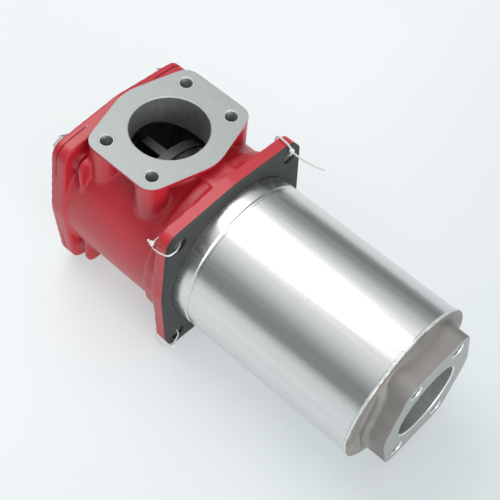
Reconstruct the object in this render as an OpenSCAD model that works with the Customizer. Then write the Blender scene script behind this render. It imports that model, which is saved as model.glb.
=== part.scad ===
// Hydraulic return filter for mounting through a tank wall.
// The main axis is X: the cover end is at -X and the outlet flange at +X.
// X = 0 is the seating face of the mounting flange. The inlet looks up, along +Z.

/* [Mounting flange] */
// Land of the flange round the tube, measured at a corner
flange_land = 5.5; // [4:0.5:10]
// How far the bend in the middle of each side stands out past the corners
flange_bulge = 4.5; // [3.5:0.5:10]
// Corner radius
flange_corner_r = 13; // [12:0.5:20]
// Thickness
flange_t = 11; // [8:0.5:16]
// Tank bolt to the middle of its corner radius, both ways
tank_bolt_out = 0.5; // [0:0.5:5]
// Clearance holes for the tank bolts
tank_hole_d = 13.5; // [9:0.5:14]
// Thickness of the tank gasket
gasket_t = 3; // [1:0.5:5]

/* [Head casting] */
// How far the barrel stands out past the tube
barrel_step = 5; // [3:0.5:5]
// Wall of the spigot that carries the tube
spigot_wall = 7; // [6.5:0.5:10]
// Length of the head from the cover joint to the mounting face
head_len = 127; // [124:0.5:140]
// Thickness of the cover flange on the head
rear_flange_t = 9.5; // [8:0.5:14]
// Side of the cover flange back from the barrel, measured at a corner
rear_inset = 3; // [0:0.5:4]
// How far the bend in the middle of each side of the cover flange stands out
rear_bulge = 6; // [5:0.5:8]
// Corner radius of the cover flange
rear_corner_r = 14; // [12:0.5:18]
// Cover bolt back from the middle of its corner radius, both ways
cover_bolt_in = 4; // [2:0.5:5]
// Gap between the cover flange and the corner webs behind it
web_gap = 9; // [6:0.5:12]
// Thickness of the corner webs
web_t = 5; // [3:0.5:8]
// Side of the corner webs back from the barrel
web_inset = 8; // [5:0.5:11]
// Length of the spigot that carries the tube
spigot_len = 28; // [26:0.5:36]

/* [Ports] */
// Bore of the inlet and of the outlet
port_bore_d = 66; // [58:0.5:68]
// Bolt pitch of the ports, short way
port_pitch_short = 50.8; // [50.8:0.1:52.4]
// Bolt pitch of the ports, long way
port_pitch_long = 88.9; // [86:0.1:90]
// Corner radius of the ports, round each bolt hole
port_corner_r = 14; // [12:0.5:15]
// Port centre to the bend in the middle of its long side
port_mid = 53; // [50:0.5:54]
// Tapped holes of the ports
port_thread_d = 12; // [10:0.5:14]
// Depth of the tapped holes
port_thread_len = 20; // [14:0.5:24]
// Axis of the inlet to the cover joint
inlet_from_cover = 55.5; // [54:0.5:58]
// Height of the inlet face over the barrel
inlet_rise = 13; // [11:0.5:25]
// Thickness of the lip that runs round the inlet face
inlet_lip_t = 4; // [2:0.5:8]
// Step from the lip's round corners back to the columns under them
column_step = 0.4; // [0.2:0.1:1]
// Width of the thick collar behind the mounting flange
collar_w = 12; // [8:1:14]
// How far the collar stands out of the barrel
collar_step = 3.5; // [2:0.5:5]
// Width of the gusset between the inlet neck and the mounting flange
gusset_w = 26; // [16:1:40]
// Outside diameter of the inlet neck under the lip
neck_d = 88; // [84:0.5:92]

/* [Cover] */
// Thickness of the cover
cover_t = 6.5; // [5:0.5:10]
// Length of the cover's spigot in the head bore
cover_spigot_len = 9; // [8:0.5:12]
// Diameter of the cover bolts
cover_bolt_d = 10; // [8:0.5:10]

/* [Tube and outlet] */
// Outside diameter of the tube
tube_d = 140; // [139:0.5:141]
// Wall of the tube
tube_wall = 2; // [1.5:0.1:2.5]
// Length of the tube
tube_len = 184; // [160:1:240]
// Mounting face to the middle of the rolled groove
groove_x = 18.5; // [17:0.5:20]
// Depth of the rolled groove
groove_depth = 1; // [0.6:0.1:1.2]
// How far the rim that the tube ends on stands out past the tube
rim_step = 1.5; // [1.5:0.25:5]
// Thickness of the rim
rim_t = 3; // [2:0.5:5]
// Thickness of the outlet flange
outlet_t = 21; // [21:0.5:30]
// Length of the outlet casting's spigot in the tube
outlet_spigot_len = 40; // [36:1:50]

/* [Filter element] */
// Gap round the element in the head's bore
element_gap = 6; // [5:0.5:12]
// Cover joint to the element's top cap
element_from_cover = 51; // [46:1:60]
// Inside diameter of the pleated paper
media_in_d = 58; // [56:1:66]
// Number of pleats
pleats = 48; // [32:1:56]
// Thickness of the pleated paper
paper_t = 1.1; // [0.8:0.1:1.4]

// Height of the bridge over the element's top cap
bridge_h = 24; // [18:1:26]
// Width of the bridge's legs
bridge_w = 8; // [6:1:14]

/* [Valves] */
// Opening travel of the bypass valve
bypass_travel = 6; // [4:0.5:7]
// Opening of the bypass seat
bypass_seat_d = 26; // [22:0.5:28]
// Opening travel of the outlet check valve
check_travel = 6; // [4:0.5:7]
// Opening of the check valve seat
check_seat_d = 46; // [42:0.5:47]

/* [Hidden] */
$fn = 72;
eps = 0.01;
// Clearance between turned pieces that fit in one another
fit = 0.05;
// Clearance of pieces that slide
slide = 0.3;
// Chamfer at the mouth of a bore and of a tapped hole
mouth = 1;
// Straight steps round one corner of a flange
arc_steps = 9;
// Radius of the bend in the middle of a flange's side, and its steps
bend_r = 40;
bend_steps = 3;

flange_side = tube_d / 2 + flange_land;
flange_mid = flange_side + flange_bulge;
tank_pitch = 2 * (flange_side - flange_corner_r + tank_bolt_out);
barrel_d = tube_d + 2 * barrel_step;
rear_side = barrel_d / 2 - rear_inset;
rear_mid = rear_side + rear_bulge;
cover_pitch = 2 * (rear_side - rear_corner_r - cover_bolt_in);
web_side = barrel_d / 2 - web_inset;
inlet_h = barrel_d / 2 + inlet_rise;
inlet_back = head_len - inlet_from_cover;
rim_d = tube_d + 2 * rim_step;

head_back = -head_len;
tube_in_d = tube_d - 2 * tube_wall;
head_bore_d = tube_in_d - 2 * spigot_wall;
spigot_d = tube_in_d - 2 * fit;
outlet_back = tube_len;
flange_back = outlet_back + rim_t;
outlet_x = flange_back + outlet_t;
port_reach = port_pitch_long / 2 + port_corner_r;
o_ring_d = 4;
o_ring_groove_w = 5;

cover_spigot_wall = 13;
// How far the cover bolts stand out behind the cover flange
cover_bolt_past = 2;
washer_t = 2;
cover_spigot_d = head_bore_d - 2 * fit;
cover_inner_x = head_back + cover_spigot_len;
cover_bore_d = cover_spigot_d - 2 * cover_spigot_wall;
head_seal_x = groove_x / 2;
cover_seal_x = head_back + cover_spigot_len / 2;
outlet_seal_x = outlet_back - outlet_spigot_len / 3;

diaphragm_t = 14;
diaphragm_back = outlet_back - outlet_spigot_len;
seat_x = diaphragm_back + diaphragm_t;
socket_d = check_seat_d;

cap_t = 3;
cap_lip = 9;
element_wire_d = 2.4;
element_seal_z = diaphragm_t / 2;
element_end = diaphragm_back - slide;
element_start = head_back + element_from_cover;
element_len = element_end - element_start;
element_d = head_bore_d - 2 * element_gap;
sleeve_t = 0.8;
cap_wall = 1.5;
sleeve_d = element_d - 2 * cap_wall - 2 * fit;
media_out_d = sleeve_d - 2 * sleeve_t - 2 * fit;
core_t = 1;
core_out_d = media_in_d - 2 * fit;
core_in_d = core_out_d - 2 * core_t;

poppet_d = bypass_seat_d + 8;
poppet_t = 3;
poppet_stem_d = 8;
cage_out_d = poppet_d + 14;
cage_in_d = poppet_d + 6;
cage_wall = 2;
bypass_spring_len = 26;
bypass_seat_x = element_start + cap_t;
poppet_back = bypass_seat_x + poppet_t;
cage_floor_x = poppet_back + bypass_spring_len;
bypass_nut_t = 5;
poppet_stem_end = cage_floor_x + cage_wall + bypass_nut_t + bypass_travel;

check_d = check_seat_d + 8;
check_t = 3;
seal_t = 2;
check_spring_len = 16;
check_stem_d = 8;
stem_head_d = 18;
stem_head_t = 3;
check_spring_d = 24;
guide_t = 6;
guide_x = seat_x + seal_t + check_t + check_spring_len;
guide_out_d = port_bore_d - 2 * fit;
stem_ring_t = 2;
check_stem_end = guide_x + guide_t + stem_ring_t + 1.5;

spring_wire = 2;
down_wire = 4;
down_spring_d = 52;

// Places children, drawn along their own Z, on the main axis at distance x
module on_axis(x) translate([x, 0, 0]) rotate([0, 90, 0]) children();

// Direction from point p to the outer side of the circle of radius r about c
function tangent_direction(p, c, r, side) =
    atan2(c[1] - p[1], c[0] - p[0]) + side * asin(r / norm(c - p));

// Angle about c at which the line from p touches the circle
function touch_angle(p, c, r, side) = tangent_direction(p, c, r, side) + side * 90;

// Half of the bend at point p: it turns from the middle direction to that of the side it runs into
function bend(p, middle, side) =
    let (centre = p - bend_r / cos(side - middle) * [cos(middle), sin(middle)])
    [
        for (i = [0:bend_steps])
            let (turn = middle + (side - middle) * i / bend_steps)
            centre + bend_r * [cos(turn), sin(turn)]
    ];

// Quarter outline: bend in the middle of one side, round corner, bend of the next side
function quarter(c, r, mid) =
    let (
        first = touch_angle([mid[0], 0], c, r, -1),
        last = touch_angle([0, mid[1]], c, r, 1)
    )
    concat(
        mid[0] > c[0] + r + eps ? bend([mid[0], 0], 0, first) : [],
        [
            for (i = [0:arc_steps])
                let (a = first + (last - first) * i / arc_steps)
                c + r * [cos(a), sin(a)]
        ],
        mid[1] > c[1] + r + eps ? reversed(bend([0, mid[1]], 90, last)) : []
    );

function reversed(list) = [for (i = [len(list) - 1:-1:0]) list[i]];
function flipped(list, sx, sy) = [for (p = list) [sx * p[0], sy * p[1]]];

// Rows of a list without a point that repeats the one before it
function no_repeats(list) =
    [for (i = [0:len(list) - 1]) if (norm(list[i] - list[(i + 1) % len(list)]) > eps) list[i]];

// Flange outline with corners of radius r about +-c, and sides that bend outwards to mid
function flange_points(c, r, mid) =
    let (q = quarter(c, r, mid))
    no_repeats(concat(q, reversed(flipped(q, -1, 1)), flipped(q, -1, -1), reversed(flipped(q, 1, -1))));

module flange_plate(c, r, mid, t) linear_extrude(t) polygon(flange_points(c, r, mid));

// Square pattern of four
module square_pattern(pitch) {
    for (y = [-1, 1])
        for (z = [-1, 1])
            translate([0, y * pitch / 2, z * pitch / 2])
                children();
}

// Port pattern of four, short way along the first axis, drawn flat in X and Y
module port_pattern() {
    for (x = [-1, 1])
        for (y = [-1, 1])
            translate([x * port_pitch_short / 2, y * port_pitch_long / 2, 0])
                children();
}

module port_plate(t) {
    flange_plate(
        [port_pitch_short / 2, port_pitch_long / 2],
        port_corner_r,
        [port_mid, port_reach],
        t
    );
}

// Bore, chamfer and tapped holes of a port, cut downwards from its face at z = 0
module port_cuts(depth) {
    translate([0, 0, -depth])
        cylinder(h = depth + eps, d = port_bore_d);
    translate([0, 0, -mouth])
        cylinder(h = mouth + eps, d1 = port_bore_d, d2 = port_bore_d + 2 * mouth);
    port_pattern() {
        translate([0, 0, -port_thread_len])
            cylinder(h = port_thread_len + eps, d = port_thread_d);
        translate([0, 0, -mouth])
            cylinder(h = mouth + eps, d1 = port_thread_d, d2 = port_thread_d + 2 * mouth);
    }
}

// Diameter at the bottom of an O-ring groove that seals in a bore of diameter d
function seal_groove_d(d) = d - 2 * o_ring_d - 4 * fit;

// Ring of round section, as an O-ring, about the main axis
module o_ring(x, mean_d, wire_d) {
    on_axis(x)
        rotate_extrude()
            translate([mean_d / 2, 0])
                circle(d = wire_d, $fn = 24);
}

// Rectangular groove about the main axis, between two diameters
module groove(x, in_d, out_d, width) {
    on_axis(x - width / 2)
        difference() {
            cylinder(h = width, d = out_d);
            translate([0, 0, -1])
                cylinder(h = width + 2, d = in_d);
        }
}

// Coil of round wire along +X from x = 0, with closed end turns
function coil_turn(i, n, turns) = turns * i / n;
function coil_rise(s, turns) =
    s < 0.9 ? 0 : s > turns - 0.9 ? 1 : (s - 0.9) / (turns - 1.8);

module coil(len, mean_d, wire, turns) {
    sides = 8;
    n = turns * 16;
    dead = wire * 1.15;
    function height(s) =
        wire / 2 + dead * (s < 0.9 ? s / 0.9 : s > turns - 0.9 ? 1 + (s - turns + 0.9) / 0.9 : 1)
        + (len - wire - 2 * dead) * coil_rise(s, turns);
    points = [
        for (i = [0:n])
            let (s = coil_turn(i, n, turns), a = 360 * s)
            for (k = [0:sides - 1])
                let (b = 360 * k / sides, r = mean_d / 2 + wire / 2 * cos(b))
                [height(s) + wire / 2 * sin(b), r * cos(a), r * sin(a)]
    ];
    walls = [
        for (i = [0:n - 1])
            for (k = [0:sides - 1])
                let (a = i * sides + k, b = i * sides + (k + 1) % sides)
                each [[a, b, b + sides], [a, b + sides, a + sides]]
    ];
    start_cap = [[for (k = [sides - 1:-1:0]) k]];
    end_cap = [[for (k = [0:sides - 1]) n * sides + k]];
    polyhedron(points = points, faces = concat(walls, start_cap, end_cap));
}

module filter_head() {
    rear_c = rear_side - rear_corner_r;
    flange_c = flange_side - flange_corner_r;
    web_r = rear_corner_r * 0.7;
    web_c = web_side - web_r;
    web_x = head_back + rear_flange_t + web_gap;
    color("crimson")
        difference() {
            union() {
                on_axis(head_back)
                    flange_plate([rear_c, rear_c], rear_corner_r, [rear_mid, rear_mid], rear_flange_t);
                on_axis(-flange_t)
                    flange_plate([flange_c, flange_c], flange_corner_r, [flange_mid, flange_mid], flange_t);
                on_axis(head_back + 1)
                    cylinder(h = head_len - 2, d = barrel_d);
                on_axis(-1)
                    cylinder(h = spigot_len + 1, d = spigot_d);
                on_axis(web_x)
                    flange_plate([web_c, web_c], web_r, [web_side, web_side], web_t);
                // Thick collar behind the mounting flange, kept inside the flange's outline
                on_axis(-flange_t - collar_w)
                    intersection() {
                        cylinder(h = collar_w + 1, d = barrel_d + 2 * collar_step);
                        flange_plate([rear_c, rear_c], rear_corner_r, [rear_mid, rear_mid], collar_w + 1);
                    }
                translate([-inlet_back, -gusset_w / 2, 0])
                    cube([inlet_back - flange_t / 2, gusset_w, flange_mid - 1]);
                translate([-inlet_back, 0, inlet_h - inlet_lip_t])
                    port_plate(inlet_lip_t);
                translate([-inlet_back, 0, 0])
                    cylinder(h = inlet_h - inlet_lip_t / 2, d = neck_d);
                translate([-inlet_back, 0, 0])
                    port_pattern()
                        cylinder(h = inlet_h - inlet_lip_t / 2, r = port_corner_r - column_step);
            }
            on_axis(head_back - 1)
                cylinder(h = head_len + spigot_len + 2, d = head_bore_d);
            on_axis(head_back - eps)
                cylinder(h = mouth + eps, d1 = head_bore_d + 2 * mouth, d2 = head_bore_d);
            translate([-inlet_back, 0, inlet_h])
                port_cuts(inlet_h);
            square_pattern(cover_pitch)
                on_axis(head_back - 1)
                    cylinder(h = rear_flange_t + cover_bolt_past + 2, d = cover_bolt_d + 2 * fit);
            square_pattern(tank_pitch)
                on_axis(-flange_t - 1)
                    cylinder(h = flange_t + 2, d = tank_hole_d);
            groove(groove_x, spigot_d - 2 * groove_depth - 1, spigot_d + 1, 5);
            groove(head_seal_x, seal_groove_d(tube_in_d), spigot_d + 1, o_ring_groove_w);
        }
}

module cover_plate() {
    c = rear_side - rear_corner_r;
    relief = 0.8;
    color("crimson")
        difference() {
            union() {
                on_axis(head_back - cover_t)
                    flange_plate([c, c], rear_corner_r, [rear_mid, rear_mid], cover_t);
                on_axis(head_back - eps)
                    cylinder(h = cover_spigot_len + eps, d = cover_spigot_d);
                on_axis(head_back - cover_t - 4)
                    cylinder(h = 4 + eps, d1 = head_bore_d - 14, d2 = head_bore_d - 6);
            }
            // The joint is open only at the corners, where the flanges stand clear of each other
            groove(head_back - relief / 2 + eps, rear_mid * 2 + 10, rear_side * 4, relief);
            on_axis(head_back - cover_t / 2)
                cylinder(h = cover_spigot_len + cover_t, d = cover_bore_d);
            square_pattern(cover_pitch)
                on_axis(head_back - cover_t - 1)
                    cylinder(h = cover_t + 2, d = cover_bolt_d + 1);
            groove(cover_seal_x, seal_groove_d(head_bore_d), cover_spigot_d + 1, o_ring_groove_w);
        }
}

module cover_o_ring() {
    color("black")
        o_ring(cover_seal_x, head_bore_d - o_ring_d - 2 * fit, o_ring_d);
}

module cover_bolts() {
    head_h = 6.4;
    shank = washer_t + cover_t + rear_flange_t + cover_bolt_past;
    color("silver")
        square_pattern(cover_pitch)
            on_axis(head_back - cover_t - washer_t - head_h) {
                cylinder(h = head_h, d = cover_bolt_d * 1.7 / cos(30), $fn = 6);
                cylinder(h = head_h + shank, d = cover_bolt_d);
            }
}

module cover_washers() {
    color("lightgray")
        square_pattern(cover_pitch)
            on_axis(head_back - cover_t - washer_t)
                difference() {
                    cylinder(h = washer_t, d = cover_bolt_d * 2);
                    translate([0, 0, -1])
                        cylinder(h = washer_t + 2, d = cover_bolt_d + 0.5);
                }
}

module tank_gasket() {
    c = flange_side - flange_corner_r;
    color("#222222")
        difference() {
            on_axis(0)
                flange_plate([c, c], flange_corner_r, [flange_mid, flange_mid], gasket_t);
            on_axis(-1)
                cylinder(h = gasket_t + 2, d = tube_d + 2 * slide);
            square_pattern(tank_pitch)
                on_axis(-1)
                    cylinder(h = gasket_t + 2, d = tank_hole_d);
        }
}

// Half section of the tube wall, with the groove rolled inwards
module tube_section() {
    r = tube_d / 2;
    g = groove_depth;
    polygon([
        [r - tube_wall, 0],
        [r, 0],
        [r, groove_x - 2],
        [r - g, groove_x - 0.8],
        [r - g, groove_x + 0.8],
        [r, groove_x + 2],
        [r, tube_len],
        [r - tube_wall, tube_len],
        [r - tube_wall, groove_x + 2],
        [r - tube_wall - g, groove_x + 0.8],
        [r - tube_wall - g, groove_x - 0.8],
        [r - tube_wall, groove_x - 2]
    ]);
}

module bowl_tube() {
    color("silver")
        on_axis(0)
            rotate_extrude()
                tube_section();
}

module head_spigot_o_ring() {
    color("black")
        o_ring(head_seal_x, tube_in_d - o_ring_d - 2 * fit, o_ring_d);
}

module outlet_flange() {
    fillet = 5;
    spigot_back = diaphragm_back;
    pocket_wall = 6;
    ring_wall = 8;
    pocket_in_d = port_bore_d + 2 * pocket_wall;
    pocket_out_d = spigot_d - 2 * ring_wall;
    pocket_len = diaphragm_t + 4;
    color("darkgray")
        difference() {
            union() {
                on_axis(flange_back - eps)
                    rotate([0, 0, 90])
                        port_plate(outlet_t + eps);
                on_axis(outlet_back)
                    cylinder(h = rim_t, d = rim_d);
                // Cast fillet between the rim and the flange
                on_axis(flange_back - eps)
                    intersection() {
                        cylinder(h = fillet, r1 = port_reach + fillet + 3, r2 = port_reach);
                        rotate([0, 0, 90])
                            flange_plate(
                                [port_pitch_short / 2, port_pitch_long / 2],
                                port_corner_r + fillet,
                                [port_mid + fillet, port_reach + fillet],
                                fillet
                            );
                    }
                on_axis(spigot_back)
                    cylinder(h = outlet_back - spigot_back + eps, d = spigot_d);
            }
            on_axis(outlet_x)
                rotate([0, 0, 90])
                    port_cuts(outlet_x - seat_x);
            on_axis(spigot_back - 1)
                cylinder(h = diaphragm_t + 2, d = socket_d);
            groove(outlet_seal_x, seal_groove_d(tube_in_d), spigot_d + 1, o_ring_groove_w);
            // The spigot is cored out round the seat boss
            groove(spigot_back + pocket_len / 2 - eps, pocket_in_d, pocket_out_d, pocket_len + 2 * eps);
        }
}

module outlet_spigot_o_ring() {
    color("black")
        o_ring(outlet_seal_x, tube_in_d - o_ring_d - 2 * fit, o_ring_d);
}

// Pressed end cap with a turned-over lip, open side towards +z
module end_cap(hole_d) {
    difference() {
        cylinder(h = cap_lip, d = element_d);
        translate([0, 0, cap_t])
            cylinder(h = cap_lip, d = element_d - 2 * cap_wall);
        translate([0, 0, -1])
            cylinder(h = cap_lip + 2, d = hole_d);
    }
}

module element_top_cap() {
    color("dimgray")
        on_axis(element_start)
            difference() {
                union() {
                    end_cap(cage_out_d);
                    cylinder(h = cap_t, d = cage_out_d + 4);
                }
                translate([0, 0, -1])
                    cylinder(h = cap_t + 2, d = bypass_seat_d);
            }
}

module element_bottom_cap() {
    nose_wall = 6;
    element_groove_w = element_wire_d + 1;
    color("dimgray")
        on_axis(element_end)
            difference() {
                union() {
                    mirror([0, 0, 1])
                        end_cap(socket_d - 2 * nose_wall);
                    translate([0, 0, -cap_t])
                        cylinder(h = diaphragm_t, d = socket_d - 2 * fit);
                }
                translate([0, 0, -cap_lip])
                    cylinder(h = diaphragm_t + cap_lip, d = socket_d - 2 * nose_wall);
                translate([0, 0, element_seal_z - element_groove_w / 2])
                    difference() {
                        cylinder(h = element_groove_w, d = socket_d + 1);
                        cylinder(h = element_groove_w, d = socket_d - 2 * element_wire_d - 4 * fit);
                    }
            }
}

module element_o_ring() {
    color("black")
        o_ring(element_end + element_seal_z, socket_d - element_wire_d - 2 * fit, element_wire_d);
}

// Star of folded paper: the folds go in and out once for each pleat
function pleat_path(out_r, in_r) = [
    for (i = [0:pleats - 1])
        each [
            out_r * [cos(360 * i / pleats), sin(360 * i / pleats)],
            in_r * [cos(360 * (i + 0.5) / pleats), sin(360 * (i + 0.5) / pleats)]
        ]
];

module element_media() {
    out_r = media_out_d / 2;
    in_r = media_in_d / 2;
    half_fold = 180 / pleats;
    // A fold's wall lies slanted, so the paper measures more along a radius than across it
    slant = paper_t / sin(atan2(out_r * sin(half_fold), out_r * cos(half_fold) - in_r));
    outer = pleat_path(out_r, in_r + slant);
    inner = pleat_path(out_r - slant, in_r);
    n = 2 * pleats;
    color("ivory")
        on_axis(element_start + cap_t + fit)
            linear_extrude(element_len - 2 * cap_t - 2 * fit)
                polygon(
                    points = concat(outer, inner),
                    paths = [[for (i = [0:n - 1]) i], [for (i = [0:n - 1]) n + i]]
                );
}

module element_core() {
    rows = 9;
    around = 8;
    hole_d = 10;
    step = (element_len - 2 * cap_t) / rows;
    color("silver")
        on_axis(element_start + cap_t + fit)
            difference() {
                cylinder(h = element_len - 2 * cap_t - 2 * fit, d = core_out_d);
                translate([0, 0, -1])
                    cylinder(h = element_len, d = core_in_d);
                for (row = [0:rows - 1])
                    for (i = [0:around - 1])
                        translate([0, 0, (row + 0.5) * step])
                            rotate([0, 90, 360 / around * (i + (row % 2) / 2)])
                                translate([0, 0, core_in_d / 2 - 3])
                                    cylinder(h = core_t + 6, d = hole_d, $fn = 24);
            }
}

module element_sleeve() {
    rows = 7;
    around = 10;
    hole_d = 18;
    step = (element_len - 2 * cap_t) / rows;
    color("darkgray")
        on_axis(element_start + cap_t + fit)
            difference() {
                cylinder(h = element_len - 2 * cap_t - 2 * fit, d = sleeve_d);
                translate([0, 0, -1])
                    cylinder(h = element_len, d = sleeve_d - 2 * sleeve_t);
                for (row = [0:rows - 1])
                    for (i = [0:around - 1])
                        translate([0, 0, (row + 0.5) * step])
                            rotate([0, 90, 360 / around * (i + (row % 2) / 2)])
                                translate([0, 0, sleeve_d / 2 - 4])
                                    cylinder(h = 8, d = hole_d, $fn = 24);
            }
}

// Pressed bridge on the top cap: the spring bears on it, and it is the grip to lift the element by
module element_bridge() {
    plate_t = 2;
    reach = element_d / 2 - cap_wall - 2;
    foot = 10;
    color("dimgray")
        on_axis(element_start) {
            translate([0, 0, -bridge_h])
                linear_extrude(plate_t)
                    difference() {
                        union() {
                            circle(d = down_spring_d + 2 * down_wire);
                            square([2 * reach, bridge_w], center = true);
                        }
                        circle(d = bypass_seat_d);
                    }
            for (a = [0, 180])
                rotate(a) {
                    translate([reach - plate_t, -bridge_w / 2, -bridge_h + plate_t / 2])
                        cube([plate_t, bridge_w, bridge_h - plate_t / 2]);
                    translate([reach - foot, -bridge_w / 2, -plate_t])
                        cube([foot, bridge_w, plate_t]);
                }
        }
}

module hold_down_spring() {
    start = head_back - cover_t / 2;
    color("silver")
        translate([start, 0, 0])
            coil(element_start - bridge_h - start, down_spring_d, down_wire, 3);
}

module bypass_poppet() {
    color("goldenrod")
        on_axis(bypass_seat_x + eps) {
            cylinder(h = poppet_t - eps, d = poppet_d);
            cylinder(h = poppet_stem_end - bypass_seat_x, d = poppet_stem_d);
        }
}

module bypass_spring() {
    color("silver")
        translate([poppet_back, 0, 0])
            coil(bypass_spring_len, poppet_d - 8, spring_wire, 6);
}

module bypass_cage() {
    foot_d = core_in_d - 2 * fit;
    floor_z = cage_floor_x - bypass_seat_x;
    color("silver")
        on_axis(bypass_seat_x)
            difference() {
                union() {
                    cylinder(h = cage_wall, d = foot_d);
                    cylinder(h = floor_z + cage_wall, d = cage_in_d + 2 * cage_wall);
                }
                translate([0, 0, -1])
                    cylinder(h = floor_z + 1, d = cage_in_d);
                cylinder(h = floor_z + cage_wall + 1, d = poppet_stem_d + 2 * slide);
                for (a = [0, 60, 120, 180, 240, 300])
                    translate([0, 0, floor_z / 2 + 2])
                        rotate([0, 90, a])
                            translate([0, 0, cage_in_d / 2 - 4])
                                cylinder(h = cage_wall + 8, d = 14, $fn = 32);
            }
}

module bypass_stem_nut() {
    color("goldenrod")
        on_axis(cage_floor_x + cage_wall + slide)
            difference() {
                cylinder(h = bypass_nut_t, d = 15, $fn = 6);
                translate([0, 0, -1])
                    cylinder(h = bypass_nut_t + 2, d = poppet_stem_d + 2 * fit);
            }
}

module check_plate() {
    color("silver")
        on_axis(seat_x + seal_t)
            difference() {
                cylinder(h = check_t, d = check_d);
                translate([0, 0, -1])
                    cylinder(h = check_t + 2, d = check_stem_d + 2 * fit);
            }
}

module check_seal() {
    color("black")
        on_axis(seat_x + eps)
            difference() {
                cylinder(h = seal_t - eps, d = check_d - 0.4);
                translate([0, 0, -1])
                    cylinder(h = seal_t + 2, d = check_stem_d + 2 * fit);
            }
}

module check_stem() {
    color("silver")
        on_axis(seat_x - stem_head_t) {
            cylinder(h = stem_head_t - eps, d = stem_head_d);
            cylinder(h = check_stem_end - seat_x + stem_head_t, d = check_stem_d);
        }
}

module check_spring() {
    color("silver")
        translate([seat_x + seal_t + check_t, 0, 0])
            coil(check_spring_len, check_spring_d, spring_wire, 4);
}

module check_guide() {
    hub_d = 30;
    rim = 4;
    spoke_w = 6;
    color("silver")
        on_axis(guide_x)
            linear_extrude(guide_t)
                difference() {
                    union() {
                        difference() {
                            circle(d = guide_out_d);
                            circle(d = guide_out_d - 2 * rim);
                        }
                        circle(d = hub_d);
                        for (a = [90, 210, 330])
                            rotate(a)
                                translate([0, -spoke_w / 2])
                                    square([guide_out_d / 2 - rim / 2, spoke_w]);
                    }
                    circle(d = check_stem_d + 2 * slide);
                }
}

module check_stem_ring() {
    color("silver")
        on_axis(guide_x + guide_t + slide)
            difference() {
                cylinder(h = stem_ring_t, d = check_stem_d + 6);
                translate([0, 0, -1])
                    cylinder(h = stem_ring_t + 2, d = check_stem_d + 2 * fit);
            }
}

filter_head();
cover_plate();
cover_o_ring();
cover_bolts();
cover_washers();
tank_gasket();
bowl_tube();
head_spigot_o_ring();
outlet_flange();
outlet_spigot_o_ring();
element_top_cap();
element_bridge();
element_bottom_cap();
element_media();
element_core();
element_sleeve();
element_o_ring();
hold_down_spring();
bypass_poppet();
bypass_spring();
bypass_cage();
bypass_stem_nut();
check_plate();
check_seal();
check_stem();
check_spring();
check_guide();
check_stem_ring();
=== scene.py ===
import math

import bpy
from mathutils import Matrix, Vector


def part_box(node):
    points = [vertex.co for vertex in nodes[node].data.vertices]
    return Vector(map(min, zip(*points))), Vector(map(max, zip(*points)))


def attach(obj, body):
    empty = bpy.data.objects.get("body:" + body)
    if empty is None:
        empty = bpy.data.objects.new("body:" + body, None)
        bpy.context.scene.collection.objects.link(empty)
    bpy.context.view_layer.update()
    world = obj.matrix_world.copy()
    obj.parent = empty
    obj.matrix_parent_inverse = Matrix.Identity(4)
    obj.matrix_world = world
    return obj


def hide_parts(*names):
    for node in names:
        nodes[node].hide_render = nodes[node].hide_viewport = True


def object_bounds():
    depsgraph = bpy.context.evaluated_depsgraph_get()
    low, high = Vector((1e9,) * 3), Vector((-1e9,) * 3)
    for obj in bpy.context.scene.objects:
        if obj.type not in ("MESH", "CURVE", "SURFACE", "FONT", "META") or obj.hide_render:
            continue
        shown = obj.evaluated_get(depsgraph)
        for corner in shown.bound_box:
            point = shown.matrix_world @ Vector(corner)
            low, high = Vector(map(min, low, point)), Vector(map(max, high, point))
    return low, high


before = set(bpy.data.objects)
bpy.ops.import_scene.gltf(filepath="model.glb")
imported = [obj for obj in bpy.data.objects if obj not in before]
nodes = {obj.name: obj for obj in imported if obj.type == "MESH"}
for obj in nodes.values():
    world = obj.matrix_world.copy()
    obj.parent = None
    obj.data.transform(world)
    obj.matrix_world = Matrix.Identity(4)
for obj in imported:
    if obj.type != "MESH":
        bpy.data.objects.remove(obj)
cad_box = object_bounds()


# Camera: it stands above the filter's front and looks down past the inlet along the tube. Its
# place, turn and lens were worked out from the bolt holes of both ports.
def deselect_everything():
    """Leaves object mode with nothing selected, as the next operator needs."""
    if bpy.context.object and bpy.context.object.mode != "OBJECT":
        bpy.ops.object.mode_set(mode="OBJECT")
    bpy.ops.object.select_all(action="DESELECT")


CAMERA_AZIMUTH = math.radians(37.71)
CAMERA_ELEVATION = math.radians(54.24)
CAMERA_ROLL = math.radians(6.25)
CAMERA_DISTANCE = 0.9515
CAMERA_TARGET = Vector((0.02184, 0.0, 0.01411))
SENSOR_WIDTH = 36.0
FRAME_PIXELS = 500.0
FOCAL_PIXELS = 1167.7
towards_camera = Vector((
    math.sin(CAMERA_AZIMUTH) * math.cos(CAMERA_ELEVATION),
    -math.cos(CAMERA_AZIMUTH) * math.cos(CAMERA_ELEVATION),
    math.sin(CAMERA_ELEVATION),
))
deselect_everything()
bpy.ops.object.camera_add(location=CAMERA_TARGET + towards_camera * CAMERA_DISTANCE)
camera = bpy.context.object
camera.name = "camera"
level_turn = (-towards_camera).to_track_quat("-Z", "Y").to_matrix()
camera.rotation_mode = "QUATERNION"
rolled_turn = Matrix.Rotation(CAMERA_ROLL, 3, towards_camera) @ level_turn
camera.rotation_quaternion = rolled_turn.to_quaternion()
camera.data.sensor_fit = "HORIZONTAL"
camera.data.sensor_width = SENSOR_WIDTH
camera.data.lens = SENSOR_WIDTH * FOCAL_PIXELS / FRAME_PIXELS
camera.data.clip_end = 20.0
bpy.context.scene.camera = camera
bpy.context.scene.view_settings.view_transform = "Standard"


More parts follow.
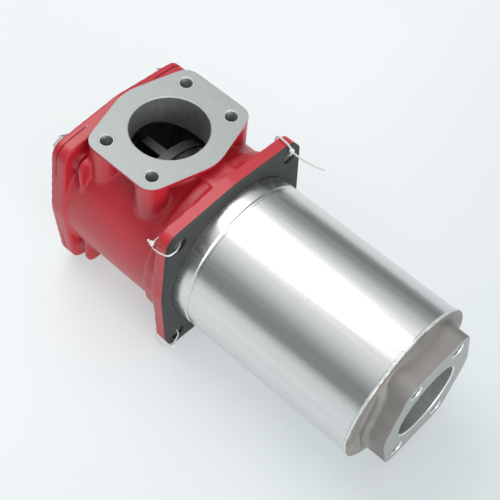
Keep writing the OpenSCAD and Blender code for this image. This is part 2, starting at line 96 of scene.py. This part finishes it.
# Studio: a broad bright ceiling over a darker room, which gives the tube its bands, and two soft
# lamps, one from the far left and a weak one from the outlet's side.
def ramp_stops(ramp, stops):
    """Sets a colour ramp's stops from (place, colour) pairs."""
    elements = ramp.color_ramp.elements
    elements[0].position, elements[0].color = stops[0]
    elements[1].position, elements[1].color = stops[-1]
    for place, colour in stops[1:-1]:
        elements.new(place).color = colour


studio_air = bpy.data.worlds.new("studio_air")
bpy.context.scene.world = studio_air
studio_air.use_nodes = True
tree = studio_air.node_tree
direction = tree.nodes.new("ShaderNodeTexCoord")
height = tree.nodes.new("ShaderNodeSeparateXYZ")
ceiling = tree.nodes.new("ShaderNodeValToRGB")
ramp_stops(ceiling, [
    (0.00, (0.20, 0.21, 0.22, 1.0)),
    (0.42, (0.27, 0.29, 0.30, 1.0)),
    (0.72, (0.94, 0.97, 0.98, 1.0)),
    (1.00, (1.00, 1.00, 1.00, 1.0)),
])
tree.links.new(direction.outputs["Generated"], height.inputs["Vector"])
tree.links.new(height.outputs["Z"], ceiling.inputs["Fac"])
tree.links.new(ceiling.outputs["Color"], tree.nodes["Background"].inputs["Color"])
tree.nodes["Background"].inputs["Strength"].default_value = 0.85

for lamp_name, lamp_place, lamp_size, lamp_power in (
    ("left_lamp", (-0.75, 0.15, 1.35), 1.1, 12.0),
    ("outlet_lamp", (1.30, -0.45, 0.35), 0.8, 12.0),
):
    deselect_everything()
    bpy.ops.object.light_add(type="AREA", location=lamp_place)
    lamp = bpy.context.object
    lamp.name = lamp_name
    lamp.data.size = lamp_size
    lamp.data.energy = lamp_power
    lamp.rotation_euler = (-lamp.location).to_track_quat("-Z", "Y").to_euler()

# Table top: a plain, pale, cool white surface that the filter lies on. Painted light: it glows a
# little towards the camera and in reflections, more at the left and fading to the right as a
# painted fall-off, so that its shadows stay light.
TABLE_Z = cad_box[0][2] - 0.0002
deselect_everything()
bpy.ops.mesh.primitive_plane_add(size=8.0, location=(0.0, 0.0, TABLE_Z))
table = bpy.context.object
table.name = "table_top"
table_white = bpy.data.materials.new("table_white")
table_white.use_nodes = True
tree = table_white.node_tree
shader = tree.nodes["Principled BSDF"]
shader.inputs["Base Color"].default_value = (0.80, 0.84, 0.85, 1.0)
shader.inputs["Roughness"].default_value = 0.6
place_on_table = tree.nodes.new("ShaderNodeTexCoord")
across = tree.nodes.new("ShaderNodeSeparateXYZ")
# Painted fall-off of light: the glow's colour goes from pale at the left to a darker grey at the
# right.
painted_falloff_range = tree.nodes.new("ShaderNodeMapRange")
painted_falloff_range.inputs["From Min"].default_value = -0.10
painted_falloff_range.inputs["From Max"].default_value = 0.35
painted_falloff_ramp = tree.nodes.new("ShaderNodeValToRGB")
ramp_stops(painted_falloff_ramp, [(0.0, (0.90, 0.94, 0.95, 1.0)), (1.0, (0.58, 0.64, 0.67, 1.0))])
# Painted light: an emission that camera and glossy rays see for half of the table's look, which
# pales its shadows.
painted_light_glow = tree.nodes.new("ShaderNodeEmission")
rays = tree.nodes.new("ShaderNodeLightPath")
seen = tree.nodes.new("ShaderNodeMath")
seen.operation = "MAXIMUM"
share = tree.nodes.new("ShaderNodeMath")
share.operation = "MULTIPLY"
share.inputs[1].default_value = 0.5
blend = tree.nodes.new("ShaderNodeMixShader")
tree.links.new(place_on_table.outputs["Object"], across.inputs["Vector"])
tree.links.new(across.outputs["X"], painted_falloff_range.inputs["Value"])
tree.links.new(painted_falloff_range.outputs["Result"], painted_falloff_ramp.inputs["Fac"])
tree.links.new(painted_falloff_ramp.outputs["Color"], painted_light_glow.inputs["Color"])
tree.links.new(rays.outputs["Is Camera Ray"], seen.inputs[0])
tree.links.new(rays.outputs["Is Glossy Ray"], seen.inputs[1])
tree.links.new(seen.outputs["Value"], share.inputs[0])
tree.links.new(share.outputs["Value"], blend.inputs["Fac"])
tree.links.new(shader.outputs["BSDF"], blend.inputs[1])
tree.links.new(painted_light_glow.outputs["Emission"], blend.inputs[2])
tree.links.new(blend.outputs["Shader"], tree.nodes["Material Output"].inputs["Surface"])
table.data.materials.append(table_white)


# Filter head: one aluminium casting, finished in crimson enamel. The inlet's face, its bore and
# its holes were machined after painting, so they are bare metal with crisp edges, while every
# other edge and hollow has the soft round of the mould.
def finish(name):
    """A new material with its node tree and its Principled shader."""
    material = bpy.data.materials.new(name)
    material.use_nodes = True
    return material, material.node_tree, material.node_tree.nodes["Principled BSDF"]


def surface_noise(tree, scale, detail=4.0, stretch=(1.0, 1.0, 1.0)):
    """Noise on the piece's own coordinates; a small stretch value draws it out along that axis."""
    coordinates = tree.nodes.new("ShaderNodeTexCoord")
    mapping = tree.nodes.new("ShaderNodeMapping")
    mapping.inputs["Scale"].default_value = stretch
    noise = tree.nodes.new("ShaderNodeTexNoise")
    noise.inputs["Scale"].default_value = scale
    noise.inputs["Detail"].default_value = detail
    tree.links.new(coordinates.outputs["Object"], mapping.inputs["Vector"])
    tree.links.new(mapping.outputs["Vector"], noise.inputs["Vector"])
    return noise.outputs["Fac"]


def colour_between(tree, factor, shader, low, high):
    """Base colour that drifts between two shades with a factor."""
    ramp = tree.nodes.new("ShaderNodeValToRGB")
    ramp_stops(ramp, [(0.3, (*low, 1.0)), (0.7, (*high, 1.0))])
    tree.links.new(factor, ramp.inputs["Fac"])
    tree.links.new(ramp.outputs["Color"], shader.inputs["Base Color"])


def roughness_between(tree, factor, shader, low, high):
    """Roughness that drifts between two values with a factor."""
    spread = tree.nodes.new("ShaderNodeMapRange")
    spread.inputs["From Min"].default_value = 0.3
    spread.inputs["From Max"].default_value = 0.7
    spread.inputs["To Min"].default_value = low
    spread.inputs["To Max"].default_value = high
    tree.links.new(factor, spread.inputs["Value"])
    tree.links.new(spread.outputs["Result"], shader.inputs["Roughness"])


def relief(tree, factor, shader, depth):
    """Fine relief, of a depth in metres."""
    bump = tree.nodes.new("ShaderNodeBump")
    bump.inputs["Distance"].default_value = depth
    tree.links.new(factor, bump.inputs["Height"])
    tree.links.new(bump.outputs["Normal"], shader.inputs["Normal"])


crimson_enamel, tree, shader = finish("crimson_enamel")
drift = surface_noise(tree, 22.0, 2.0)
colour_between(tree, drift, shader, (0.47, 0.016, 0.028), (0.53, 0.021, 0.035))
roughness_between(tree, drift, shader, 0.36, 0.44)
relief(tree, surface_noise(tree, 500.0, 2.0), shader, 0.00006)
shader.inputs["Coat Weight"].default_value = 0.15
shader.inputs["Coat Roughness"].default_value = 0.2

machined_metal, tree, shader = finish("machined_metal")
cutter_marks = surface_noise(tree, 500.0, 4.0, (0.25, 1.0, 0.25))
colour_between(tree, cutter_marks, shader, (0.30, 0.32, 0.31), (0.37, 0.39, 0.38))
roughness_between(tree, cutter_marks, shader, 0.42, 0.55)
relief(tree, cutter_marks, shader, 0.00003)
shader.inputs["Metallic"].default_value = 0.6

# Fresh-cut metal: the real bright metal of the chamfers, and a painted highlight along the outlet's
# rim edge.
fresh_cut_and_rim_highlight, tree, shader = finish("bare_cut_and_rim_highlight")
turning_marks = surface_noise(tree, 700.0, 3.0)
colour_between(tree, turning_marks, shader, (0.60, 0.62, 0.61), (0.74, 0.75, 0.74))
roughness_between(tree, turning_marks, shader, 0.28, 0.4)
shader.inputs["Metallic"].default_value = 0.35

MERGE_REACH = 0.00001
LEVEL_REACH = 0.0001
TURNED_EDGES = 96
THREAD_EDGES = 40
THREAD_PITCH = 0.00175
THREAD_FORM = 0.90
THREAD_LEAD = 0.001
PAST_CUT = 0.01
up = Vector((0.0, 0.0, 1.0))
along = Vector((1.0, 0.0, 0.0))


def select_only(piece):
    """Makes one object the only selected and the active one."""
    deselect_everything()
    piece.select_set(True)
    bpy.context.view_layer.objects.active = piece


def copy_of(node_name, piece_name, metal):
    """A merged copy of a CAD node, to be worked on as a piece of its own."""
    select_only(nodes[node_name])
    bpy.ops.object.duplicate()
    piece = bpy.context.object
    piece.name = piece_name
    piece.data.name = piece_name
    piece.parent = None
    piece.data.materials.clear()
    piece.data.materials.append(metal)
    bpy.ops.object.mode_set(mode="EDIT")
    bpy.ops.mesh.select_all(action="SELECT")
    bpy.ops.mesh.remove_doubles(threshold=MERGE_REACH)
    bpy.ops.object.mode_set(mode="OBJECT")
    return piece


def placed(point, direction):
    """The matrix that puts a shape made along Z at a point, along a direction."""
    turn = Vector(direction).to_track_quat("Z", "Y")
    return Matrix.Translation(Vector(point)) @ turn.to_matrix().to_4x4()


def rod(radius, start, end, turned_edges=TURNED_EDGES):
    """A closed cylinder from start to end, as a cutter or as a plug."""
    run = Vector(end) - Vector(start)
    place = placed((Vector(start) + Vector(end)) / 2, run)
    deselect_everything()
    bpy.ops.mesh.primitive_cylinder_add(vertices=turned_edges, radius=radius, depth=run.length)
    cylinder = bpy.context.object
    cylinder.data.transform(place)
    return cylinder


def stretch_face(piece, axis, level, extra, clear_of=0.0):
    """Moves a flat face out along an axis, as stock for the cutter to take off again."""
    for vertex in piece.data.vertices:
        off_axis = math.hypot(vertex.co.y, vertex.co.z)
        if abs(vertex.co[axis] - level) < LEVEL_REACH and off_axis > clear_of:
            vertex.co[axis] += extra


def soften(casting, plugs, voxel, passes):
    """Fills the plugged holes and rounds the edges and hollows, as a sand mould leaves them."""
    deselect_everything()
    for plug in plugs:
        plug.select_set(True)
    casting.select_set(True)
    bpy.context.view_layer.objects.active = casting
    if plugs:
        bpy.ops.object.join()
    skin = casting.modifiers.new("skin", "REMESH")
    skin.mode = "VOXEL"
    skin.voxel_size = voxel
    round_off = casting.modifiers.new("round_off", "SMOOTH")
    round_off.factor = 0.5
    round_off.iterations = passes
    for modifier in ("skin", "round_off"):
        bpy.ops.object.modifier_apply(modifier=modifier)
    select_only(casting)
    bpy.ops.object.shade_smooth()


def machine(casting, cutters, metal):
    """Cuts each cutter out of the casting. The cut faces are bare metal, or the cutter's own."""
    for cutter in cutters:
        if not cutter.data.materials:
            cutter.data.materials.append(metal)
        cut = casting.modifiers.new("cut", "BOOLEAN")
        cut.operation = "DIFFERENCE"
        cut.solver = "MANIFOLD"
        cut.material_mode = "TRANSFER"
        cut.object = cutter
        select_only(casting)
        bpy.ops.object.modifier_apply(modifier="cut")
        bpy.data.objects.remove(cutter)
    select_only(casting)
    bpy.ops.object.shade_smooth_by_angle(angle=math.radians(32.0))


def facing(centre, outward, reach):
    """A block that takes a flat face down to centre, square to the direction outward."""
    middle = Vector(centre) + Vector(outward) * reach / 2
    deselect_everything()
    bpy.ops.mesh.primitive_cube_add(size=1.0)
    block = bpy.context.object
    block.data.transform(Matrix.Translation(middle) @ Matrix.Scale(reach, 4))
    return block


def chamfer(radius, centre, outward, edge):
    """A cone that takes the edge off the mouth of a hole."""
    deselect_everything()
    under = 0.2 * edge
    bpy.ops.mesh.primitive_cone_add(
        vertices=TURNED_EDGES, radius1=radius - under, radius2=radius + 3 * edge - under,
        depth=3 * edge)
    cone = bpy.context.object
    lift = Matrix.Translation((0.0, 0.0, 0.5 * edge - under))
    cone.data.transform(placed(centre, outward) @ lift)
    cone.data.materials.append(fresh_cut_and_rim_highlight)
    return cone


def ring(inner, outer, start, end):
    """A ring about the filter's axis from start to end, to cut round a spigot."""
    cutter = rod(outer, start * along, end * along)
    middle = rod(inner, (start - PAST_CUT) * along, (end + PAST_CUT) * along)
    machine(cutter, [middle], machined_metal)
    return cutter


def tap(radius, depth, mouth, outward):
    """A cutter for a tapped hole, with a ridge for each turn of the thread."""
    deselect_everything()
    bpy.ops.mesh.primitive_circle_add(vertices=THREAD_EDGES, radius=radius, fill_type="NGON")
    cutter = bpy.context.object
    bpy.ops.object.mode_set(mode="EDIT")
    bpy.ops.mesh.select_all(action="SELECT")
    lead_in = {"value": (0.0, 0.0, THREAD_LEAD)}
    half_turn = {"value": (0.0, 0.0, THREAD_PITCH / 2)}
    bpy.ops.mesh.extrude_region_move(TRANSFORM_OT_translate=lead_in)
    for turn in range(int(depth / THREAD_PITCH)):
        for narrowing in (THREAD_FORM, 1.0 / THREAD_FORM):
            bpy.ops.mesh.extrude_region_move(TRANSFORM_OT_translate=half_turn)
            bpy.ops.transform.resize(
                value=(narrowing, narrowing, 1.0), center_override=(0.0, 0.0, 0.0))
    bpy.ops.mesh.select_all(action="SELECT")
    bpy.ops.mesh.normals_make_consistent(inside=False)
    bpy.ops.object.mode_set(mode="OBJECT")
    sink = Matrix.Translation((0.0, 0.0, -THREAD_LEAD))
    cutter.data.transform(placed(mouth, -Vector(outward)) @ sink)
    return cutter


def faces_bare_or_highlit(casting, metal, gets_finish):
    """Gives the faces whose middle passes the test the given metal: bare metal where the paint is
    off, and a painted highlight on the outlet's rim.
    """
    if metal.name not in casting.data.materials:
        casting.data.materials.append(metal)
    slot = casting.data.materials.find(metal.name)
    for face in casting.data.polygons:
        if gets_finish(face.center):
            face.material_index = slot


PORT_BORE_R = 0.033
PORT_HOLE_R = 0.006
PORT_HOLE_DEPTH = 0.020
PORT_SHORT = 0.0254
PORT_LONG = 0.04445
HEAD_BORE_R = 0.061
HEAD_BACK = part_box("filter_head")[0][0]
SPIGOT_R = 0.068
BOLT_REACH = 0.054
TANK_HOLE_REACH = 0.063
TANK_HOLE_R = 0.00675
BOLT_BOSS_R = 0.0085
BOSS_START = HEAD_BACK + 0.001
BOSS_END = HEAD_BACK + 0.0145
STOCK = 0.003
EDGE = 0.0009
PLUG_OVER = 0.001
RING_CLEAR = 0.0003
RING_OUTER = 0.13
FACING_REACH = 0.25
PORT_PLUG_DEPTH = 0.038
HEAD_PLUG_END = 0.0275
HOLE_PLUG_DEPTH = 0.022
TANK_PLUG_DEPTH = 0.0105
HEAD_CUT_START = -0.135
HEAD_CUT_END = 0.035
PORT_CUT_DEPTH = 0.045
PORT_CUT_OVER = 0.005
TANK_CUT_DEPTH = 0.02
inlet_face = Vector((-0.0715, 0.0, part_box("filter_head")[1][2]))
inlet_holes = [
    inlet_face + Vector((side_x * PORT_SHORT, side_y * PORT_LONG, 0.0))
    for side_x in (-1, 1)
    for side_y in (-1, 1)
]

head = copy_of("filter_head", "head_casting", crimson_enamel)
stretch_face(head, 2, inlet_face.z, STOCK)
stretch_face(head, 0, HEAD_BACK, -STOCK)
stretch_face(head, 0, 0.0, STOCK, SPIGOT_R + PLUG_OVER)
plugs = [
    rod(PORT_BORE_R + PLUG_OVER, inlet_face - PORT_PLUG_DEPTH * up, inlet_face + STOCK * up),
    rod(HEAD_BORE_R + PLUG_OVER, (HEAD_BACK - STOCK) * along, HEAD_PLUG_END * along),
]
plugs += [
    rod(PORT_HOLE_R + PLUG_OVER, hole - HOLE_PLUG_DEPTH * up, hole + STOCK * up)
    for hole in inlet_holes
]
corners = [Vector((0.0, side_y, side_z)) for side_y in (-1, 1) for side_z in (-1, 1)]
bolts = [BOLT_REACH * corner for corner in corners]
tank_holes = [TANK_HOLE_REACH * corner for corner in corners]
plugs += [rod(BOLT_BOSS_R, bolt + BOSS_START * along, bolt + BOSS_END * along) for bolt in bolts]
plugs += [
    rod(TANK_HOLE_R + PLUG_OVER, hole - TANK_PLUG_DEPTH * along, hole + STOCK * along)
    for hole in tank_holes
]
soften(head, plugs, voxel=0.0013, passes=8)
cutters = [
    facing(inlet_face, up, FACING_REACH),
    facing(HEAD_BACK * along, -along, FACING_REACH),
    ring(SPIGOT_R + RING_CLEAR, RING_OUTER, 0.0, PAST_CUT),
    rod(HEAD_BORE_R, HEAD_CUT_START * along, HEAD_CUT_END * along, turned_edges=160),
    rod(PORT_BORE_R, inlet_face - PORT_CUT_DEPTH * up, inlet_face + PORT_CUT_OVER * up,
        turned_edges=128),
    chamfer(PORT_BORE_R, inlet_face, up, EDGE),
]
cutters += [
    rod(TANK_HOLE_R, hole - TANK_CUT_DEPTH * along, hole + PAST_CUT * along, turned_edges=48)
    for hole in tank_holes
]
cutters += [tap(PORT_HOLE_R, PORT_HOLE_DEPTH, hole, up) for hole in inlet_holes]
cutters += [chamfer(PORT_HOLE_R, hole, up, EDGE) for hole in inlet_holes]
machine(head, cutters, machined_metal)
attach(head, "housing")
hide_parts("filter_head")

# Cover plate: a cast plate with a raised middle, in the same enamel, screwed on the head's back.
# It lets the element out, and its spigot carries the cover's seal.
CORNER_RELIEF = 0.0008
CORNER_CUT = 0.0009
CORNER_RING_R = 0.083
CORNER_RING_OUTER = 0.14
BARE_DEPTH = 0.0045
SPIGOT_WALL = 0.004
cover = copy_of("cover_plate", "cover_casting", crimson_enamel)
stretch_face(cover, 0, HEAD_BACK, STOCK, HEAD_BORE_R + PLUG_OVER)
stretch_face(
    cover, 0, HEAD_BACK - CORNER_RELIEF, STOCK + CORNER_RELIEF, HEAD_BORE_R + PLUG_OVER)
soften(cover, [], voxel=0.0010, passes=10)
machine(cover, [
    ring(HEAD_BORE_R + RING_CLEAR, RING_OUTER, HEAD_BACK, HEAD_BACK + PAST_CUT),
    ring(CORNER_RING_R, CORNER_RING_OUTER, HEAD_BACK - CORNER_CUT, HEAD_BACK + PAST_CUT),
], machined_metal)
faces_bare_or_highlit(cover, machined_metal, lambda middle: middle.x > HEAD_BACK + RING_CLEAR or (
    middle.x > HEAD_BACK - BARE_DEPTH
    and math.hypot(middle.y, middle.z) < HEAD_BORE_R - SPIGOT_WALL))
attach(cover, "housing")
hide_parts("cover_plate")

# Cover screws and washers: zinc plated steel, turned and rolled, tight in the head's cover flange.
zinc_steel, tree, shader = finish("zinc_plated_steel")
cloud = surface_noise(tree, 180.0)
colour_between(tree, cloud, shader, (0.50, 0.51, 0.52), (0.64, 0.65, 0.66))
roughness_between(tree, cloud, shader, 0.28, 0.45)
relief(tree, cloud, shader, 0.00003)
shader.inputs["Metallic"].default_value = 1.0


def dress(node_names, metal):
    """Gives CAD nodes whose shape is right their finish."""
    for name in node_names:
        nodes[name].data.materials.clear()
        nodes[name].data.materials.append(metal)


dress(["cover_bolts", "cover_washers"], zinc_steel)

# Tank gasket and O-rings: black nitrile rubber, cut from sheet or moulded, matt and a little dusty.
nitrile_rubber, tree, shader = finish("nitrile_rubber")
dust = surface_noise(tree, 70.0, 6.0)
colour_between(tree, dust, shader, (0.024, 0.027, 0.026), (0.040, 0.044, 0.042))
roughness_between(tree, dust, shader, 0.55, 0.75)
relief(tree, surface_noise(tree, 900.0, 3.0), shader, 0.00008)
dress([
    "tank_gasket", "cover_o_ring", "head_spigot_o_ring", "outlet_spigot_o_ring", "element_o_ring",
], nitrile_rubber)

# Bowl tube: thin bright steel tube with one rolled groove that grips the head's spigot. Drawing
# left fine streaks along it.
drawn_steel, tree, shader = finish("drawn_steel")
streaks = surface_noise(tree, 160.0, 3.0, (0.02, 1.0, 1.0))
colour_between(tree, streaks, shader, (0.70, 0.71, 0.70), (0.78, 0.78, 0.77))
roughness_between(tree, streaks, shader, 0.24, 0.30)
relief(tree, streaks, shader, 0.00001)
shader.inputs["Metallic"].default_value = 1.0
dress(["bowl_tube"], drawn_steel)

# Outlet flange: an aluminium casting, blasted and left bare, pressed in the tube's end. Its face,
# its bore and its four screw holes are machined.
blasted_metal, tree, shader = finish("blasted_metal")
patches = surface_noise(tree, 45.0, 3.0)
colour_between(tree, patches, shader, (0.23, 0.215, 0.20), (0.31, 0.295, 0.28))
roughness_between(tree, patches, shader, 0.55, 0.72)
relief(tree, surface_noise(tree, 800.0, 5.0), shader, 0.00018)
shader.inputs["Metallic"].default_value = 0.45

outlet_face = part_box("outlet_flange")[1][0] * along
outlet_holes = [
    outlet_face + Vector((0.0, side_y * PORT_SHORT, side_z * PORT_LONG))
    for side_y in (-1, 1)
    for side_z in (-1, 1)
]
SEAT_DEPTH = 0.050
SEAT_PLUG_DEPTH = 0.048
OUTLET_PLUG_DEPTH = 0.0205
RIM_HIGHLIGHT_BAND = 0.0006
outlet = copy_of("outlet_flange", "outlet_casting", blasted_metal)
stretch_face(outlet, 0, outlet_face.x, STOCK)
plugs = [
    rod(PORT_BORE_R + PLUG_OVER, outlet_face - SEAT_PLUG_DEPTH * along,
        outlet_face + STOCK * along),
]
plugs += [
    rod(PORT_HOLE_R + PLUG_OVER, hole - OUTLET_PLUG_DEPTH * along, hole + STOCK * along)
    for hole in outlet_holes
]
soften(outlet, plugs, voxel=0.0011, passes=3)
cutters = [
    facing(outlet_face, along, FACING_REACH),
    rod(PORT_BORE_R, outlet_face - SEAT_DEPTH * along, outlet_face + PORT_CUT_OVER * along,
        turned_edges=128),
    chamfer(PORT_BORE_R, outlet_face, along, EDGE),
]
cutters += [tap(PORT_HOLE_R, PORT_HOLE_DEPTH, hole, along) for hole in outlet_holes]
cutters += [chamfer(PORT_HOLE_R, hole, along, EDGE) for hole in outlet_holes]
machine(outlet, cutters, machined_metal)
# Painted highlight: the faces along the rim's outer edge get the bright fresh-cut metal, which
# stands for the highlight on that edge.
rim_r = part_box("outlet_flange")[1][2]
faces_bare_or_highlit(outlet, fresh_cut_and_rim_highlight, lambda middle: math.hypot(middle.y, middle.z) > rim_r - RIM_HIGHLIGHT_BAND)
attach(outlet, "housing")
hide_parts("outlet_flange")

# Element: pleated resin paper between a perforated core and a perforated wrap, glued in two
# moulded black end caps. The hold-down spring bears on the bridge across its top cap, which is
# also the grip to lift it by.
black_plastic, tree, shader = finish("black_plastic")
scuffs = surface_noise(tree, 120.0, 5.0)
colour_between(tree, scuffs, shader, (0.030, 0.030, 0.030), (0.048, 0.048, 0.047))
roughness_between(tree, scuffs, shader, 0.38, 0.55)
relief(tree, scuffs, shader, 0.00004)
dress(["element_top_cap", "element_bottom_cap"], black_plastic)

phosphated_steel, tree, shader = finish("phosphated_steel")
crystals = surface_noise(tree, 260.0, 5.0)
colour_between(tree, crystals, shader, (0.05, 0.05, 0.05), (0.09, 0.09, 0.088))
roughness_between(tree, crystals, shader, 0.42, 0.6)
relief(tree, crystals, shader, 0.00003)
shader.inputs["Metallic"].default_value = 0.8
dress(["element_bridge", "element_sleeve"], phosphated_steel)

filter_paper, tree, shader = finish("filter_paper")
fibres = surface_noise(tree, 600.0, 6.0, (0.3, 1.0, 1.0))
colour_between(tree, fibres, shader, (0.60, 0.49, 0.30), (0.72, 0.61, 0.41))
roughness_between(tree, fibres, shader, 0.8, 0.95)
relief(tree, fibres, shader, 0.00008)
dress(["element_media"], filter_paper)
dress(["element_core"], zinc_steel)

# Springs: plated steel wire, coiled cold, with closed ends. The large one holds the element down,
# the others close the bypass valve and the outlet's check valve.
spring_wire, tree, shader = finish("spring_wire")
wire_cloud = surface_noise(tree, 400.0, 3.0)
colour_between(tree, wire_cloud, shader, (0.34, 0.34, 0.35), (0.48, 0.48, 0.49))
roughness_between(tree, wire_cloud, shader, 0.30, 0.42)
shader.inputs["Metallic"].default_value = 1.0
dress(["hold_down_spring", "bypass_spring", "check_spring", "check_stem_ring"], spring_wire)

# Bypass valve: a turned brass poppet and its nut, in a pressed cage under the element's top cap.
turned_brass, tree, shader = finish("turned_brass")
turning = surface_noise(tree, 1200.0, 2.0, (1.0, 0.1, 0.1))
colour_between(tree, turning, shader, (0.60, 0.42, 0.16), (0.75, 0.55, 0.24))
roughness_between(tree, turning, shader, 0.20, 0.35)
shader.inputs["Metallic"].default_value = 1.0
dress(["bypass_poppet", "bypass_stem_nut"], turned_brass)
dress(["bypass_cage"], zinc_steel)

# Check valve: a steel plate with a rubber facing on a stem, guided by a spider in the outlet bore.
dress(["check_plate", "check_stem", "check_guide"], zinc_steel)
dress(["check_seal"], nitrile_rubber)


# Ties: white nylon straps through three of the flange's holes, which hold the gasket on while the
# filter travels. Each is a thin flat strap pulled through a small square head.
white_nylon, tree, shader = finish("white_nylon")
milky = surface_noise(tree, 150.0, 3.0)
colour_between(tree, milky, shader, (0.70, 0.71, 0.70), (0.78, 0.79, 0.78))
roughness_between(tree, milky, shader, 0.35, 0.5)
shader.inputs["Subsurface Weight"].default_value = 0.15
shader.inputs["Subsurface Radius"].default_value = (0.002, 0.002, 0.002)


def tie_strap(name, points, width, thickness):
    """A strap on a smooth route through points in metres."""
    route = bpy.data.curves.new(name, "CURVE")
    route.dimensions = "3D"
    route.resolution_u = 8
    route.bevel_depth = thickness / 2
    route.bevel_resolution = 2
    route.extrude = width / 2 - thickness / 2
    route.use_fill_caps = True
    spline = route.splines.new("BEZIER")
    spline.bezier_points.add(len(points) - 1)
    for knot, point in zip(spline.bezier_points, points):
        knot.co = point
        knot.handle_left_type = knot.handle_right_type = "AUTO"
    strap = bpy.data.objects.new(name, route)
    bpy.context.collection.objects.link(strap)
    select_only(strap)
    bpy.ops.object.convert(target="MESH")
    strap = bpy.context.object
    strap.data.materials.append(white_nylon)
    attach(strap, "housing")


def tie_head(name, centre, size):
    """The square head of a tie, with rounded edges."""
    deselect_everything()
    bpy.ops.mesh.primitive_cube_add(size=1.0)
    block = bpy.context.object
    block.name = name
    block.data.transform(Matrix.Translation(Vector(centre)) @ Matrix.Diagonal((*size, 1.0)))
    edges = block.modifiers.new("edges", "BEVEL")
    edges.width = min(size) * 0.25
    edges.segments = 3
    bpy.ops.object.modifier_apply(modifier="edges")
    bpy.ops.object.shade_smooth_by_angle(angle=math.radians(40.0))
    block.data.materials.append(white_nylon)
    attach(block, "housing")


tie_strap("tie_strap_left", [
    (-0.0125, -0.0772, 0.0640), (-0.0120, -0.0778, 0.0615), (-0.0060, -0.0790, 0.0625),
    (0.0000, -0.0790, 0.0645), (0.0048, -0.0775, 0.0655), (0.0062, -0.0730, 0.0660),
    (0.0048, -0.0665, 0.0650), (0.0015, -0.0620, 0.0640), (-0.0050, -0.0615, 0.0640),
    (-0.0115, -0.0640, 0.0640), (-0.0130, -0.0700, 0.0640), (-0.0128, -0.0765, 0.0640),
], width=0.0018, thickness=0.0009)
tie_head("tie_head_left", (-0.0128, -0.0775, 0.0645), (0.0036, 0.0032, 0.0036))
tie_strap("tie_tail_left", [
    (-0.0128, -0.0775, 0.0650), (-0.0138, -0.0792, 0.0680), (-0.0140, -0.0800, 0.0705),
], width=0.0016, thickness=0.0008)

tie_strap("tie_strap_far", [
    (-0.0120, 0.0625, 0.0650), (-0.0125, 0.0628, 0.0745), (-0.0105, 0.0628, 0.0772),
    (-0.0040, 0.0620, 0.0785), (0.0020, 0.0612, 0.0782), (0.0050, 0.0608, 0.0765),
    (0.0056, 0.0610, 0.0720), (0.0030, 0.0620, 0.0660), (-0.0050, 0.0625, 0.0640),
    (-0.0120, 0.0625, 0.0650),
], width=0.0018, thickness=0.0009)
tie_head("tie_head_far", (0.0062, 0.0607, 0.0750), (0.0036, 0.0036, 0.0040))
tie_strap("tie_tail_far", [
    (0.0065, 0.0607, 0.0745), (0.0110, 0.0632, 0.0705), (0.0165, 0.0665, 0.0665),
    (0.0240, 0.0702, 0.0635), (0.0315, 0.0738, 0.0620),
], width=0.0020, thickness=0.0007)

tie_strap("tie_strap_low", [
    (0.0045, -0.0640, -0.0650), (0.0050, -0.0690, -0.0690), (0.0050, -0.0735, -0.0715),
    (0.0010, -0.0765, -0.0720), (-0.0060, -0.0768, -0.0720), (-0.0118, -0.0745, -0.0705),
    (-0.0120, -0.0680, -0.0660), (-0.0050, -0.0625, -0.0630), (0.0020, -0.0622, -0.0635),
    (0.0045, -0.0640, -0.0650),
], width=0.0018, thickness=0.0009)
tie_head("tie_head_low", (0.0056, -0.0715, -0.0705), (0.0034, 0.0038, 0.0036))
